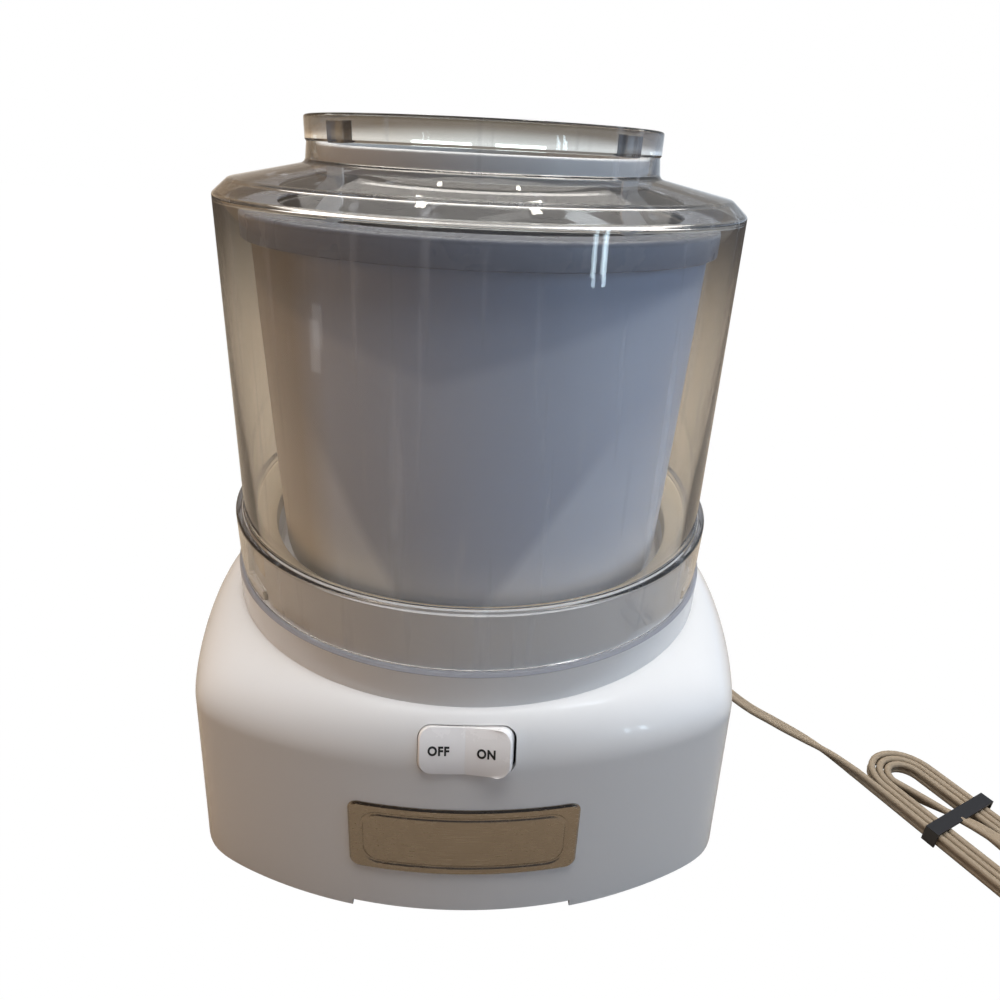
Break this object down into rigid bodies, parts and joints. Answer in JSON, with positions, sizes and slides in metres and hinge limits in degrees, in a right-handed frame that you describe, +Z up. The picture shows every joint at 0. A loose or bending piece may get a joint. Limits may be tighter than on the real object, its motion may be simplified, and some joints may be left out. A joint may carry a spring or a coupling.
{
  "type": "ice cream maker",
  "caption": "Countertop ice cream maker: square-shouldered white base with a rocker switch, a motor-driven freezer bowl, a still mixing arm and a tall smoky clear lid that turns to lock.",
  "frame": {"origin": "middle of the base's footprint, on the surface it stands on", "axes": "+Z up, -Y towards the switch at the front, +X to the right of someone facing the front"},
  "size_m": [0.4, 0.3245, 0.286],
  "materials": {
    "white_plastic": "smooth glossy moulded off-white",
    "white_plastic_plain": "plain satin off-white",
    "foot_rubber": "matte dark rubber",
    "screw_steel": "zinc plated",
    "brushed_plate": "brushed champagne, lightly embossed edge",
    "black_plastic": "satin black",
    "rocker_plastic": "glossy off-white",
    "brass": "plain",
    "grey_plastic": "glass-filled, satin",
    "shaft_steel": "ground",
    "nylon": "natural",
    "bronze": "sintered, oiled",
    "seal_rubber": "soft, matte",
    "acetal": "satin white",
    "rotor_metal": "die cast over steel laminations",
    "stack_steel": "laminated, lightly oiled",
    "copper": "enamelled winding",
    "bracket_aluminium": "die cast",
    "bowl_plastic": "satin blue-grey",
    "liner_aluminium": "satin anodised",
    "coolant_gel": "translucent gel, sealed in",
    "arm_plastic": "glossy translucent white",
    "clear_smoke": "polished, faint smoke tint",
    "lead_insulation": "black insulation",
    "cord_pvc": "soft off-white",
    "tie_black": "twist tie"
  },
  "bodies": {
    "base": {"base_housing": "white_plastic", "base_plate": "white_plastic_plain", "rubber_feet": "foot_rubber", "base_screws": "screw_steel", "name_plate": "brushed_plate", "switch_body": "black_plastic", "switch_terminals": "brass", "gearbox_housing": "grey_plastic", "gearbox_cover": "grey_plastic", "gearbox_screws": "screw_steel", "gear_shafts": "shaft_steel", "gear_washers": "nylon", "hub_bush": "bronze", "hub_seal": "seal_rubber", "motor_stator": "stack_steel", "shading_rings": "copper", "coil_bobbin": "black_plastic", "motor_coil": "copper", "motor_bracket_top": "bracket_aluminium", "motor_bracket_bottom": "bracket_aluminium", "motor_bushes": "bronze", "motor_screws": "screw_steel", "supply_leads": "lead_insulation", "strain_relief": "cord_pvc", "cord_run": "cord_pvc", "cord_hank": "cord_pvc", "cord_tie": "tie_black", "plug_body": "cord_pvc", "plug_blades": "brass"},
    "rocker": {"switch_rocker": "rocker_plastic"},
    "hub": {"drive_hub": "acetal", "output_gear": "nylon", "hub_clip": "shaft_steel"},
    "third_stage": {"third_stage_gear": "nylon"},
    "second_stage": {"second_stage_gear": "nylon"},
    "rotor": {"motor_pinion": "brass", "motor_shaft": "shaft_steel", "motor_rotor": "rotor_metal", "cooling_fan": "black_plastic"},
    "bowl": {"bowl_shell": "bowl_plastic", "bowl_liner": "liner_aluminium", "bowl_rim": "bowl_plastic", "bowl_seal": "seal_rubber", "coolant_fill": "coolant_gel", "bowl_plug": "seal_rubber"},
    "arm": {"mixing_arm": "arm_plastic"},
    "lid": {"lid": "clear_smoke"}
  },
  "joints": [
    {"name": "switch_rock", "type": "hinge", "parent": "base", "child": "rocker", "pos_m": [0, -0.10926, 0.08126], "axis": [0, 0.2957, 0.9553], "range_deg": [0, 9]},
    {"name": "bowl_spin", "type": "hinge", "parent": "base", "child": "hub", "pos_m": [0, 0, 0.105], "axis": [0, 0, 1], "continuous": true},
    {"name": "third_stage_spin", "type": "hinge", "parent": "base", "child": "third_stage", "pos_m": [0.02375, 0.04114, 0.08], "axis": [0, 0, 1], "continuous": true},
    {"name": "second_stage_spin", "type": "hinge", "parent": "base", "child": "second_stage", "pos_m": [-0.00223, 0.05614, 0.075], "axis": [0, 0, 1], "continuous": true},
    {"name": "motor_spin", "type": "hinge", "parent": "base", "child": "rotor", "pos_m": [-0.02704, 0.04711, 0.05], "axis": [0, 0, 1], "continuous": true},
    {"name": "bowl_lift", "type": "slide", "parent": "hub", "child": "bowl", "axis": [0, 0, 1], "range_m": [0, 0.063]},
    {"name": "arm_lift", "type": "slide", "parent": "base", "child": "arm", "axis": [0, 0, 1], "range_m": [0, 0.21]},
    {"name": "lid_turn", "type": "hinge", "parent": "arm", "child": "lid", "pos_m": [0, 0, 0.2], "axis": [0, 0, 1], "range_deg": [0, 15]}
  ],
  "couplings": [
    {"joint": "third_stage_spin", "follows": "bowl_spin", "ratio": -5.3333},
    {"joint": "second_stage_spin", "follows": "bowl_spin", "ratio": 21.333},
    {"joint": "motor_spin", "follows": "bowl_spin", "ratio": -96},
    {"joint": "bowl_lift", "follows": "arm_lift", "ratio": 0.3}
  ]
}
